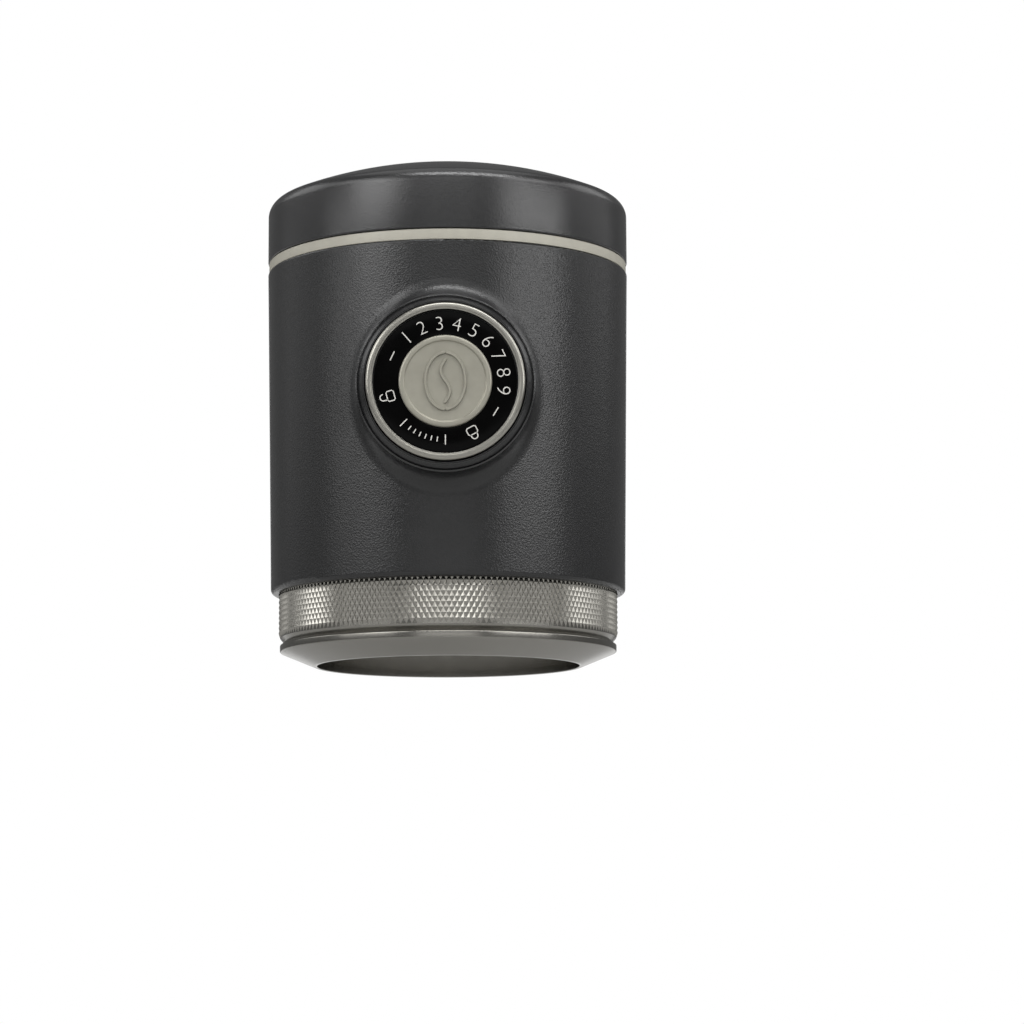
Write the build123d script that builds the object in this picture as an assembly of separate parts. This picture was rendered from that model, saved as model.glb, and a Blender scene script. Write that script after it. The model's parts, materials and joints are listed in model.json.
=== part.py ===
from build123d import *
import math
import os

# Handheld manual espresso maker. Millimetres, +Z up.
# The origin is the centre of the drip opening, on the rim that the maker stands on.
# The pump knob points to -Y. The basket is the driving size and the shells grow around it.

# ---------------------------------------------------------------- fits
face_gap = 0.05          # between parts that almost touch end to end
slip_fit = 0.05          # radial, a part in its bore
slide_fit = 0.10         # radial, the knob in its sleeve
thread_fit = 0.20        # radial, crest to root
loose_fit = 0.20         # radial, basket in holder, lugs in slots

# ---------------------------------------------------------------- filter basket
basket_bore_radius = 26.0
basket_wall = 0.5
basket_height = 22.4
basket_floor_z = 4.6
basket_flange_width = 2.7
basket_flange_thickness = 0.8
basket_inner_corner = 1.1
basket_hole_radius = 0.42
basket_hole_pitch = 2.6
basket_hole_margin = 3.6
sieve_twist = 15.0       # degrees from one ring of holes to the next

# ---------------------------------------------------------------- portafilter ring
drip_lip = 0.9           # how far the opening reaches in under the basket
drip_lip_height = 1.5
rim_land = 0.6           # flat width that the maker stands on
guide_height = 8.0       # where the bore opens out above the basket guide
guide_relief = 1.3
flange_play = 0.3
ring_neck_wall = 1.8
ring_rise = 0.6          # ring top above the basket flange
ring_exposed = 14.0      # how much of the ring shows under the body
ring_tuck = 1.0          # knurled part that runs up inside the body
knurl_start_z = 5.4
lip_low_z = 2.75
lip_high_z = 3.95
lip_inset = 0.25
lip_round = 0.45
groove_z = 4.5
groove_depth = 1.05

# ---------------------------------------------------------------- brew thread
brew_pitch = 4.0
brew_turns = 1.5
brew_thread_depth = 0.75
brew_root_width = 1.8
brew_crest_width = 0.9
brew_thread_rise = 4.0   # first turn above the ring's shoulder
insert_wall = 0.85
insert_gap = 0.5         # ring shoulder to insert

# ---------------------------------------------------------------- body shell
body_wall = 1.5
body_draft = 0.85
body_height = 63.5
body_foot_round = 1.0
body_top_round = 0.4
shelf_gap = 0.6          # ring top to the shelf that carries the brew head
shelf_thickness = 2.8
shelf_width = 2.55

# ---------------------------------------------------------------- brew head
head_rim_thickness = 1.3
gasket_thickness = 2.2
gasket_width = 2.8
gasket_inset = 0.1
gasket_pocket_play = 0.1
head_lower_gap = 0.3     # brew head above the ring top
chamber_depth = 1.0
chamber_ledge = 1.6      # brew head's land that the dispersion plate bears on
head_boss_radius = 5.0
plate_thickness = 1.6
plate_inset = 0.8
screen_thickness = 0.5
screen_inset = 0.4
screen_sink = 0.6        # screen below the basket rim
screen_hole_radius = 0.45
screen_hole_pitch = 3.0
screen_hole_margin = 2.0
plate_hole_radius = 0.9
plate_hole_pitch = 6.0
plate_hole_margin = 2.6
screen_screw_radius = 2.35
screen_screw_head_radius = 4.2
screen_screw_head_height = 1.4
screen_screw_reach = 5.2
screen_screw_hex = 3.0

# ---------------------------------------------------------------- pump knob
stroke = 16.0
knob_radius = 14.6
knob_wall = 1.4
bezel_width = 1.3
bezel_height = 1.6
bezel_round = 0.55
dial_thickness = 0.8
badge_radius = 8.65
badge_thickness = 1.4
badge_rim_width = 1.1
badge_rim_height = 0.3
knob_plate = 2.4
knob_plate_recess = 1.3
knob_recess_radius = 4.5
lug_ring_length = 3.0
lug_height = 1.0
lug_half_angle = 9.0
lug_angle_play = 1.5
lock_angle = 45.0
skirt_end_y = -10.0
lug_end_play = 0.2
sleeve_wall = 2.2
sleeve_front_wall = 1.8
sleeve_floor = 1.5
sleeve_floor_gap = 2.0   # skirt end to the sleeve's floor
sleeve_clear = 0.1       # sleeve above the brew head
collar_width = 1.45
collar_stand = 4.8       # collar's edge in front of the body's widest radius
collar_gap = 0.45        # knob to collar bore
collar_crown = 1.2       # collar's inner rim in front of its outer edge
collar_rim = 0.15        # width of that inner rim
collar_set_back = 2.2    # collar edge behind the knob's face
collar_flare = 4.2
collar_edge = 0.3
sleeve_seat_gap = 0.1    # sleeve in its seat in the shell

# ---------------------------------------------------------------- pump
cylinder_bore_radius = 6.0
cylinder_wall = 1.2
cylinder_back_y = 14.0
cylinder_nose = 3.0      # cylinder in front of the sleeve's floor
ear_thickness = 1.8
ear_reach = 9.4
ear_radius = 2.2
rod_radius = 3.0
rod_journal_radius = 2.5
rod_shoulder_gap = 0.2
rod_stub_radius = 1.8
rod_stub_length = 3.3
guide_length = 4.0
rod_seal_radius = 0.9
piston_length = 4.5
piston_end_gap = 0.3
piston_play = 0.1
seal_width = 1.6
seal_depth = 1.6
seal_fit = 0.03
washer_radius = 10.2
washer_thickness = 1.0
washer_gap = 0.3
spring_radius = 8.6
spring_wire_radius = 0.6
spring_turns = 8.0
knob_screw_radius = 1.25
knob_screw_head_radius = 3.6
knob_screw_head_height = 1.1
knob_screw_length = 7.0
knob_screw_hex = 2.5

# ---------------------------------------------------------------- pump block
block_half_width = 10.0
block_front_y = 12.0
block_back_y = 27.5
block_corner = 2.0
foot_half_width = 14.0
foot_front_y = 14.0
foot_back_y = 26.0
foot_thickness = 2.5
port_y = 20.0
port_radius = 3.0
feed_radius = 2.5
valve_flange_radius = 4.1
valve_flange_thickness = 1.0
valve_body_radius = 2.5
valve_length = 2.4
valve_bill = 0.9
valve_bore_radius = 1.5
valve_pocket_play = 0.1
block_top_gap = 0.2

# ---------------------------------------------------------------- water tank
tank_bore_radius = 31.0
tank_wall = 1.4
tank_floor = 1.2
tank_gap = 0.2           # tank above the sleeve
well_gap = 0.2           # well behind the sleeve's floor
tank_flange_height = 1.2
tank_flange_seat = 0.8   # flange past the body's bore
tank_side_gap = 0.75     # tank in the body's bore
strainer_radius = 5.0
strainer_height = 1.0
strainer_hole_radius = 0.4
strainer_hole_pitch = 1.6
strainer_hole_margin = 1.0

# ---------------------------------------------------------------- trim ring
trim_height = 2.0
trim_inset = 0.2
trim_gap = 0.1

# ---------------------------------------------------------------- lid
lid_pitch = 3.2
lid_turns = 1.25
lid_thread_depth = 0.7
lid_root_width = 1.4
lid_crest_width = 0.7
neck_below_thread = 2.4
neck_above_thread = 0.2
lid_gap = 0.15
lid_side_height = 11.18   # up to where the side would meet the dome
lid_dome_radius = 86.0
lid_edge_round = 3.0
lid_draft = 0.1
lid_wall = 1.4
liner_wall = 0.65
liner_crown = 1.4
liner_foot_gap = 0.5
lid_gasket_thickness = 1.5
lid_gasket_width = 1.4
lid_gasket_play = 0.1
vent_boss_radius = 5.0
vent_boss_drop = 4.0
vent_pocket_depth = 2.0
vent_flange_radius = 3.0
vent_body_radius = 1.9
vent_length = 3.0
vent_bore_radius = 1.0

# ---------------------------------------------------------------- small screws
screw_radius = 1.0
screw_head_radius = 1.8
screw_head_height = 1.1
screw_hex_share = 0.6    # socket corners against the head's radius
screw_socket_depth = 0.7
head_screw_count = 6
head_screw_radius = 0.8
head_screw_head_radius = 1.2
head_screw_length = 3.0
block_screw_length = 4.9
sleeve_screw_length = 3.2
tank_screw_length = 6.0

# ================================================================ derived radii
basket_radius = basket_bore_radius + basket_wall
basket_flange_radius = basket_radius + basket_flange_width
opening_radius = basket_radius - drip_lip
guide_radius = basket_radius + loose_fit
relief_radius = guide_radius + guide_relief
flange_pocket_radius = basket_flange_radius + flange_play
neck_radius = tank_bore_radius + tank_wall
thread_band = brew_thread_depth + thread_fit + insert_wall + slip_fit
body_bore_radius = max(flange_pocket_radius + ring_neck_wall + thread_band, neck_radius + tank_side_gap)
insert_radius = body_bore_radius - slip_fit
insert_root_radius = insert_radius - insert_wall
ring_crest_radius = insert_root_radius - thread_fit
ring_root_radius = ring_crest_radius - brew_thread_depth
insert_crest_radius = ring_root_radius + thread_fit
knurl_radius = body_bore_radius - slip_fit
lip_radius = knurl_radius - lip_inset
groove_radius = knurl_radius - groove_depth
body_bottom_radius = body_bore_radius + body_wall
body_top_radius = body_bottom_radius + body_draft
shelf_radius = body_bore_radius - shelf_width
gasket_inner_radius = basket_radius - gasket_inset
gasket_outer_radius = gasket_inner_radius + gasket_width
plate_radius = basket_bore_radius - plate_inset
chamber_radius = plate_radius - chamber_ledge
screen_radius = basket_bore_radius - screen_inset
neck_crest_radius = neck_radius + lid_thread_depth
liner_crest_radius = neck_radius + thread_fit
liner_root_radius = neck_crest_radius + thread_fit + slip_fit
liner_radius = liner_root_radius + liner_wall
lid_radius = body_top_radius

# ================================================================ derived heights
basket_top_z = basket_floor_z + basket_height
flange_seat_z = basket_top_z - basket_flange_thickness
ring_top_z = basket_top_z + ring_rise
body_bottom_z = ring_exposed
body_top_z = body_bottom_z + body_height
shoulder_z = body_bottom_z + ring_tuck
insert_bottom_z = shoulder_z + insert_gap
shelf_bottom_z = ring_top_z + shelf_gap
shelf_top_z = shelf_bottom_z + shelf_thickness
head_top_z = shelf_top_z + head_rim_thickness
head_bottom_z = ring_top_z + head_lower_gap
gasket_bottom_z = basket_top_z + face_gap
gasket_top_z = gasket_bottom_z + gasket_thickness
screen_bottom_z = basket_top_z - screen_sink
screen_top_z = screen_bottom_z + screen_thickness
plate_top_z = screen_top_z + plate_thickness
chamber_top_z = plate_top_z + chamber_depth
ring_thread_z = shoulder_z + brew_thread_rise
insert_thread_z = ring_thread_z - brew_pitch / 2

# ================================================================ derived pump places
sleeve_bore_radius = knob_radius + slide_fit
sleeve_radius = sleeve_bore_radius + sleeve_wall
lug_radius = knob_radius + lug_height
slot_radius = lug_radius + loose_fit - face_gap
collar_bore_radius = knob_radius + collar_gap
collar_radius = collar_bore_radius + collar_width
collar_y = -(body_top_radius + collar_stand)
knob_face_y = collar_y - collar_set_back
pump_z = head_top_z + sleeve_clear + sleeve_radius
bezel_back_y = knob_face_y + bezel_height
plate_back_y = bezel_back_y + knob_plate
recess_floor_y = bezel_back_y + knob_plate_recess
lug_front_y = skirt_end_y - lug_ring_length
sleeve_front_y = lug_front_y - stroke - lug_end_play - sleeve_front_wall
sleeve_floor_y = skirt_end_y + sleeve_floor_gap
sleeve_back_y = sleeve_floor_y + sleeve_floor
cylinder_radius = cylinder_bore_radius + cylinder_wall
cylinder_front_y = sleeve_floor_y - cylinder_nose
guide_back_y = cylinder_front_y + guide_length
piston_back_y = cylinder_back_y - piston_end_gap
piston_front_y = piston_back_y - piston_length
rod_shoulder_y = plate_back_y + rod_shoulder_gap
washer_front_y = plate_back_y + washer_gap
washer_back_y = washer_front_y + washer_thickness
block_top_z = pump_z + cylinder_radius + block_top_gap

# ================================================================ derived tank and lid places
tank_floor_bottom_z = pump_z + sleeve_radius + tank_gap
tank_floor_z = tank_floor_bottom_z + tank_floor
well_floor_z = block_top_z + tank_floor
well_front_y = sleeve_back_y + well_gap
tank_flange_radius = body_bore_radius + tank_flange_seat
tank_flange_z = body_top_z - tank_flange_height
trim_top_z = body_top_z + trim_height
neck_thread_z = trim_top_z + neck_below_thread + lid_root_width / 2
neck_top_z = neck_thread_z + lid_pitch * lid_turns + lid_root_width / 2 + neck_above_thread
liner_thread_z = neck_thread_z - lid_pitch / 2
lid_bottom_z = trim_top_z + lid_gap
dome_centre_z = lid_bottom_z + lid_side_height - math.sqrt(lid_dome_radius ** 2 - lid_radius ** 2)
lid_top_z = dome_centre_z + lid_dome_radius
liner_bottom_z = trim_top_z + liner_foot_gap
gasket_seat_z = neck_top_z + face_gap + lid_gasket_thickness
lid_gasket_inner_radius = tank_bore_radius + lid_gasket_play

FROM_BOTTOM = (Align.CENTER, Align.CENTER, Align.MIN)


# ================================================================ helpers
def disc(radius, low, high, x=0.0, y=0.0):
    """Upright cylinder between two heights."""
    return Pos(x, y, low) * Cylinder(radius, high - low, align=FROM_BOTTOM)


def tube(outer, inner, low, high):
    """Upright tube between two heights."""
    return disc(outer, low, high) - disc(inner, low, high)


def pump_plane(y):
    """Plane across the pump axis; its normal is +Y and its angles turn right-handed about +Y."""
    return Plane(origin=(0, y, pump_z), x_dir=(1, 0, 0), z_dir=(0, 1, 0))


def level_disc(radius, front, back, x=0.0, rise=0.0):
    """Cylinder along Y between two depths, beside or on the pump axis."""
    face = Pos(x, -rise, 0) * Circle(radius)
    return extrude(pump_plane(front) * face, back - front)


def level_cone(front_radius, back_radius, front, back):
    """Cone along the pump axis between two depths."""
    return pump_plane(front) * Cone(front_radius, back_radius, back - front, align=FROM_BOTTOM)


def level_tube(outer, inner, front, back):
    """Tube along the pump axis between two depths."""
    return level_disc(outer, front, back) - level_disc(inner, front, back)


def level_sector(inner, outer, first, last, front, back):
    """Part of a tube along the pump axis, between two angles in degrees."""
    corners = [(r * math.cos(a), r * math.sin(a))
               for r in (inner, outer) for a in (math.radians(first), math.radians(last))]
    middle = math.radians((first + last) / 2)
    inner_middle = (inner * math.cos(middle), inner * math.sin(middle))
    outer_middle = (outer * math.cos(middle), outer * math.sin(middle))
    outline = Wire([
        Edge.make_three_point_arc(corners[0], inner_middle, corners[1]),
        Edge.make_line(corners[1], corners[3]),
        Edge.make_three_point_arc(corners[3], outer_middle, corners[2]),
        Edge.make_line(corners[2], corners[0]),
    ])
    return extrude(pump_plane(front) * Face(outline), back - front, dir=(0, 1, 0))


def helical_ridge(root, crest, root_width, crest_width, pitch, turns, start_z):
    """Right-handed thread ridge; root and crest are radii, so it can point out or in."""
    def helix(radius, rise):
        curve = Helix(pitch=pitch, height=pitch * turns, radius=radius)
        return curve.moved(Location((0, 0, start_z + rise))).edges()[0]

    rails = [helix(root, -root_width / 2), helix(crest, -crest_width / 2),
             helix(crest, crest_width / 2), helix(root, root_width / 2)]
    walls = [Face.make_surface_from_curves(a, b) for a, b in zip(rails, rails[1:] + rails[:1])]
    ends = [Face(Wire.make_polygon([rail @ t for rail in rails], close=True)) for t in (0, 1)]
    return Solid(Shell(walls + ends))


def ring_of_places(radius, count, first=0.0):
    """Points evenly spaced on a circle."""
    angles = [math.radians(first + 360.0 * i / count) for i in range(count)]
    return [(radius * math.cos(a), radius * math.sin(a)) for a in angles]


def sieve_places(limit, pitch, start=0.0):
    """Rings of holes, each turned and with six more holes than the last, out to a limit radius."""
    places = []
    ring = 1
    while ring * pitch <= limit:
        if ring * pitch >= start:
            places += ring_of_places(ring * pitch, 6 * ring, sieve_twist * ring)
        ring += 1
    return places


def sieve(radius, hole_radius, places, low, high, centre_hole=0.0):
    """Flat perforated disc, extruded from one face with holes."""
    holes = [Wire.make_circle(hole_radius, Plane((x, y, 0))) for x, y in places]
    if centre_hole:
        holes.append(Wire.make_circle(centre_hole))
    face = Face(Wire.make_circle(radius), holes)
    return Pos(0, 0, low) * extrude(face, high - low, dir=(0, 0, 1))


def revolved(points):
    """Solid turned about Z from a closed outline of (radius, height) points."""
    outline = Polyline([(r, 0, z) for r, z in points], close=True)
    return revolve(make_face(outline), Axis.Z)


def upright_screw(x, y, seat_z, length, radius=screw_radius, head_radius=screw_head_radius):
    """Socket screw with its head above a seat and its shank below."""
    head = disc(head_radius, seat_z, seat_z + screw_head_height, x, y)
    shank = disc(radius, seat_z - length, seat_z, x, y)
    socket_z = seat_z + screw_head_height - screw_socket_depth
    hexagon = RegularPolygon(head_radius * screw_hex_share, 6)
    socket = Pos(x, y, socket_z) * extrude(hexagon, screw_socket_depth)
    return head + shank - socket


def duckbill(x, y, seat_z, flange_radius, body_radius, length, bore_radius):
    """One-way rubber valve: a flange above a body that closes to a flat bill below."""
    flange = disc(flange_radius, seat_z, seat_z + valve_flange_thickness, x, y)
    body = disc(body_radius, seat_z - length, seat_z, x, y)
    shoulder_depth = length / 3
    outline = Polyline([(-body_radius, 0), (body_radius, 0), (body_radius, -shoulder_depth),
                        (valve_bill / 2, -length), (-valve_bill / 2, -length),
                        (-body_radius, -shoulder_depth)], close=True)
    wedge = extrude(Plane.XZ * make_face(outline), body_radius, both=True)
    mouth = disc(bore_radius, seat_z - shoulder_depth, seat_z + valve_flange_thickness, x, y)
    return flange + (body & (Pos(x, y, seat_z) * wedge)) - mouth


def dome(radius, sphere_radius, low):
    """Upright cylinder under a shallow sphere that is centred below the lid."""
    ball = Pos(0, 0, dome_centre_z) * Sphere(sphere_radius)
    return disc(radius, low, lid_top_z + 1) & ball


def dome_edge(solid):
    """The level round edge where a dome meets its side."""
    rounds = solid.edges().filter_by(GeomType.CIRCLE)
    level = rounds.filter_by(lambda edge: abs(edge.normal().Z) > 0.99)
    return level.sort_by(Axis.Z)[-1:]


# ================================================================ portafilter
def make_filter_basket():
    wall = revolved([
        (basket_bore_radius, basket_floor_z), (basket_radius, basket_floor_z),
        (basket_radius, flange_seat_z), (basket_flange_radius, flange_seat_z),
        (basket_flange_radius, basket_top_z), (basket_bore_radius, basket_top_z)])
    places = sieve_places(basket_bore_radius - basket_hole_margin, basket_hole_pitch)
    floor = sieve(basket_radius, basket_hole_radius, places + [(0, 0)],
                  basket_floor_z, basket_floor_z + basket_wall)
    basket = wall + floor
    inner_edge = [e for e in basket.edges().filter_by(GeomType.CIRCLE)
                  if abs(e.radius - basket_bore_radius) < 0.01
                  and abs(e.center().Z - basket_floor_z - basket_wall) < 0.01]
    basket = fillet(inner_edge, basket_inner_corner)
    outer_edge = basket.edges().filter_by(GeomType.CIRCLE).group_by(Axis.Z)[0].sort_by(SortBy.RADIUS)[-1:]
    return fillet(outer_edge, basket_inner_corner + basket_wall)


def make_portafilter_ring():
    body = revolved([
        (opening_radius, 0), (opening_radius + rim_land, 0),
        (lip_radius, lip_low_z), (lip_radius, lip_high_z),
        (groove_radius, groove_z), (knurl_radius, knurl_start_z),
        (knurl_radius, shoulder_z), (ring_root_radius, shoulder_z),
        (ring_root_radius, ring_top_z), (flange_pocket_radius, ring_top_z),
        (flange_pocket_radius, flange_seat_z), (relief_radius, flange_seat_z),
        (relief_radius, guide_height), (guide_radius, guide_height),
        (guide_radius, drip_lip_height), (opening_radius, drip_lip_height)])
    lip_edges = [e for e in body.edges().filter_by(GeomType.CIRCLE)
                 if abs(e.radius - lip_radius) < 0.01 and e.center().Z < groove_z]
    body = fillet(lip_edges, lip_round)
    ridge = helical_ridge(ring_root_radius - slip_fit, ring_crest_radius, brew_root_width,
                          brew_crest_width, brew_pitch, brew_turns, ring_thread_z)
    return body + ridge


# ================================================================ brew head
def make_thread_insert():
    sleeve = tube(insert_radius, insert_root_radius, insert_bottom_z, shelf_bottom_z)
    ridge = helical_ridge(insert_root_radius + slip_fit, insert_crest_radius, brew_root_width,
                          brew_crest_width, brew_pitch, brew_turns, insert_thread_z)
    return sleeve + ridge


def head_screw_places():
    return ring_of_places(body_bore_radius - slip_fit - head_screw_head_radius, head_screw_count)


def block_screw_places():
    x = foot_half_width - screw_head_radius
    low = foot_front_y + screw_head_radius
    high = foot_back_y - screw_head_radius
    return [(sx * x, y) for sx in (-1, 1) for y in (low, high)]


def make_brew_head():
    head = disc(body_bore_radius - slip_fit, shelf_top_z, head_top_z)
    head += disc(shelf_radius - slide_fit, head_bottom_z, shelf_top_z)
    head -= disc(gasket_outer_radius + gasket_pocket_play, head_bottom_z, plate_top_z)
    head -= tube(gasket_outer_radius + gasket_pocket_play, gasket_inner_radius - gasket_pocket_play,
                 plate_top_z, gasket_top_z)
    head -= tube(chamber_radius, head_boss_radius, plate_top_z, chamber_top_z)
    head -= disc(screen_screw_radius + slip_fit, plate_top_z, screen_bottom_z + screen_screw_reach + face_gap)
    head -= disc(port_radius, plate_top_z, head_top_z, 0, port_y)
    for x, y in head_screw_places():
        head -= disc(head_screw_radius + slip_fit, shelf_top_z, head_top_z, x, y)
    for x, y in block_screw_places():
        depth = block_screw_length - foot_thickness + face_gap
        head -= disc(screw_radius + slip_fit, head_top_z - depth, head_top_z, x, y)
    return head


def make_group_gasket():
    gasket = tube(gasket_outer_radius, gasket_inner_radius, gasket_bottom_z, gasket_top_z)
    return chamfer(gasket.edges().group_by(Axis.Z)[0], gasket_thickness / 8)


def make_dispersion_plate():
    places = sieve_places(plate_radius - plate_hole_margin, plate_hole_pitch, head_boss_radius)
    return sieve(plate_radius, plate_hole_radius, places, screen_top_z, plate_top_z,
                 screen_screw_radius + loose_fit)


def make_dispersion_screen():
    start = screen_screw_head_radius + screen_hole_radius
    places = sieve_places(screen_radius - screen_hole_margin, screen_hole_pitch, start)
    return sieve(screen_radius, screen_hole_radius, places, screen_bottom_z, screen_top_z,
                 screen_screw_radius + loose_fit)


def make_screen_screw():
    low = screen_bottom_z - screen_screw_head_height
    head = disc(screen_screw_head_radius, low, screen_bottom_z)
    head = fillet(head.edges().group_by(Axis.Z)[0], screen_screw_head_height / 2)
    shank = disc(screen_screw_radius, screen_bottom_z, screen_bottom_z + screen_screw_reach)
    socket = Pos(0, 0, low) * extrude(RegularPolygon(screen_screw_hex / 2, 6), screen_screw_head_height)
    return head + shank - socket


def make_head_screws():
    return [upright_screw(x, y, head_top_z, head_screw_length, head_screw_radius,
                          head_screw_head_radius) for x, y in head_screw_places()]


# ================================================================ body
def make_body_shell():
    shell = Pos(0, 0, body_bottom_z) * Cone(body_bottom_radius, body_top_radius, body_height,
                                            align=FROM_BOTTOM)
    shell += level_disc(collar_radius, collar_y, 0)
    flare = [e for e in shell.edges()
             if e.geom_type != GeomType.CIRCLE and e.geom_type != GeomType.LINE]
    shell = fillet(flare, min(collar_flare, collar_stand - 2 * collar_edge))
    shell = fillet(shell.edges().group_by(Axis.Z)[0], body_foot_round)
    shell = fillet(shell.edges().group_by(Axis.Z)[-1], body_top_round)
    shell = chamfer(shell.edges().group_by(Axis.Y)[0], collar_edge)
    rim_y = collar_y - collar_crown
    shell += level_cone(collar_bore_radius + collar_rim, collar_radius - collar_edge, rim_y, collar_y)
    shell -= level_disc(collar_bore_radius, rim_y, 0)
    shell -= disc(body_bore_radius, body_bottom_z, shelf_bottom_z)
    shell -= disc(shelf_radius, shelf_bottom_z, shelf_top_z)
    shell -= disc(body_bore_radius, shelf_top_z, body_top_z)
    shell -= disc(tank_flange_radius + slip_fit, tank_flange_z, body_top_z)
    shell -= level_disc(sleeve_radius + sleeve_seat_gap, sleeve_front_y, 0)
    for x, y in head_screw_places():
        depth = head_screw_length - head_rim_thickness + face_gap
        shell -= disc(head_screw_radius + slip_fit, shelf_top_z - depth, shelf_top_z, x, y)
    return shell


def make_trim_ring():
    ring = tube(body_top_radius - trim_inset, neck_radius + trim_gap, body_top_z, trim_top_z)
    return ring


# ================================================================ pump
def sleeve_slots(front, back, first, last):
    """The same slot on both sides of the sleeve."""
    slots = level_sector(knob_radius, slot_radius, first, last, front, back)
    return slots + level_sector(knob_radius, slot_radius, first + 180, last + 180, front, back)


def sleeve_screw_places():
    return [-ear_reach, ear_reach]


def make_lock_sleeve():
    reach = lug_half_angle + lug_angle_play
    pocket = lug_ring_length + 2 * lug_end_play
    inner_front = lug_front_y - lug_end_play
    outer_front = inner_front - stroke
    sleeve = level_tube(sleeve_radius, sleeve_bore_radius, sleeve_front_y, sleeve_floor_y)
    sleeve += level_tube(sleeve_radius, cylinder_radius + slip_fit, sleeve_floor_y, sleeve_back_y)
    sleeve -= sleeve_slots(outer_front, inner_front + pocket, -reach, reach)
    sleeve -= sleeve_slots(inner_front, inner_front + pocket, reach / 2, lock_angle + reach)
    sleeve -= sleeve_slots(outer_front, outer_front + pocket, reach / 2, lock_angle + reach)
    for x in sleeve_screw_places():
        sleeve -= level_disc(screw_radius + slip_fit, sleeve_floor_y, sleeve_back_y, x)
    return sleeve


def make_pump_cylinder():
    ears = level_disc(ear_radius, sleeve_back_y, sleeve_back_y + ear_thickness, ear_reach)
    ears += level_disc(ear_radius, sleeve_back_y, sleeve_back_y + ear_thickness, -ear_reach)
    bridge = extrude(pump_plane(sleeve_back_y) * Rectangle(2 * ear_reach, 2 * ear_radius), ear_thickness)
    cylinder = level_disc(cylinder_radius, cylinder_front_y, cylinder_back_y) + bridge + ears
    cylinder -= level_disc(cylinder_bore_radius, cylinder_front_y, cylinder_back_y)
    for x in sleeve_screw_places():
        cylinder -= level_disc(screw_radius + slip_fit, sleeve_back_y, sleeve_back_y + ear_thickness, x)
    return cylinder


def make_sleeve_screws():
    seat_y = sleeve_back_y + ear_thickness
    screws = []
    for x in sleeve_screw_places():
        head = level_disc(screw_head_radius, seat_y, seat_y + screw_head_height, x)
        shank = level_disc(screw_radius, seat_y - sleeve_screw_length, seat_y, x)
        hexagon = pump_plane(seat_y + screw_head_height - screw_socket_depth) * (
            Pos(x, 0, 0) * RegularPolygon(screw_head_radius * screw_hex_share, 6))
        screws.append(head + shank - extrude(hexagon, screw_socket_depth))
    return screws


def rod_seal_y():
    return (cylinder_front_y + guide_back_y) / 2


def make_rod_guide():
    guide = level_tube(cylinder_bore_radius - slip_fit, rod_radius + slip_fit,
                       cylinder_front_y, guide_back_y)
    half = rod_seal_radius + slide_fit
    outer = rod_radius + 2 * (rod_seal_radius + slip_fit)
    return guide - level_tube(outer, rod_radius, rod_seal_y() - half, rod_seal_y() + half)


def make_rod_seal():
    middle = rod_radius + slip_fit + rod_seal_radius
    return pump_plane(rod_seal_y()) * Torus(middle, rod_seal_radius)


def make_pump_block():
    depth = block_back_y - block_front_y
    middle = (block_back_y + block_front_y) / 2
    column = Pos(0, middle, head_top_z) * Box(2 * block_half_width, depth, block_top_z - head_top_z,
                                              align=FROM_BOTTOM)
    column = fillet(column.edges().filter_by(Axis.Z), block_corner)
    foot_middle = (foot_front_y + foot_back_y) / 2
    foot = Pos(0, foot_middle, head_top_z) * Box(2 * foot_half_width, foot_back_y - foot_front_y,
                                                 foot_thickness, align=FROM_BOTTOM)
    foot = fillet(foot.edges().filter_by(Axis.Z), block_corner - slip_fit)
    block = column + foot
    block -= level_disc(cylinder_radius + slip_fit, block_front_y, cylinder_back_y)
    block -= level_disc(feed_radius, cylinder_back_y, port_y)
    block -= disc(port_radius, head_top_z, block_top_z, 0, port_y)
    pocket = valve_flange_radius + valve_pocket_play
    deep = valve_flange_thickness + face_gap
    block -= disc(pocket, block_top_z - deep, block_top_z, 0, port_y)
    block -= disc(pocket, head_top_z, head_top_z + deep, 0, port_y)
    for x, y in block_screw_places():
        block -= disc(screw_radius + slip_fit, head_top_z, head_top_z + foot_thickness, x, y)
    for x, y in tank_screw_places():
        block -= disc(screw_radius + slip_fit, block_top_z - tank_screw_length, block_top_z, x, y)
    return block


def make_block_screws():
    seat = head_top_z + foot_thickness
    return [upright_screw(x, y, seat, block_screw_length) for x, y in block_screw_places()]


def make_inlet_valve():
    seat = block_top_z - valve_flange_thickness - face_gap
    return duckbill(0, port_y, seat, valve_flange_radius, valve_body_radius, valve_length,
                    valve_bore_radius)


def make_outlet_valve():
    return duckbill(0, port_y, head_top_z, valve_flange_radius, valve_body_radius, valve_length,
                    valve_bore_radius)


def make_piston_head():
    head = level_disc(cylinder_bore_radius - piston_play, piston_front_y, piston_back_y)
    half = seal_width / 2 + slip_fit
    middle = (piston_front_y + piston_back_y) / 2
    floor = cylinder_bore_radius - seal_depth - slip_fit
    head -= level_tube(cylinder_bore_radius, floor, middle - half, middle + half)
    return head - level_disc(rod_stub_radius + slip_fit, piston_front_y,
                             piston_front_y + rod_stub_length + face_gap)


def make_piston_seal():
    middle = (piston_front_y + piston_back_y) / 2
    outer = cylinder_bore_radius - seal_fit
    seal = level_tube(outer, cylinder_bore_radius - seal_depth,
                      middle - seal_width / 2, middle + seal_width / 2)
    lips = [e for e in seal.edges().filter_by(GeomType.CIRCLE) if abs(e.radius - outer) < 0.01]
    return chamfer(lips, seal_width / 5)


def make_piston_rod():
    rod = level_disc(rod_radius, rod_shoulder_y, piston_front_y)
    rod += level_disc(rod_journal_radius, recess_floor_y, rod_shoulder_y)
    rod += level_disc(rod_stub_radius, piston_front_y, piston_front_y + rod_stub_length)
    return rod - level_disc(knob_screw_radius + slip_fit, recess_floor_y,
                            recess_floor_y + knob_screw_length)


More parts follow.
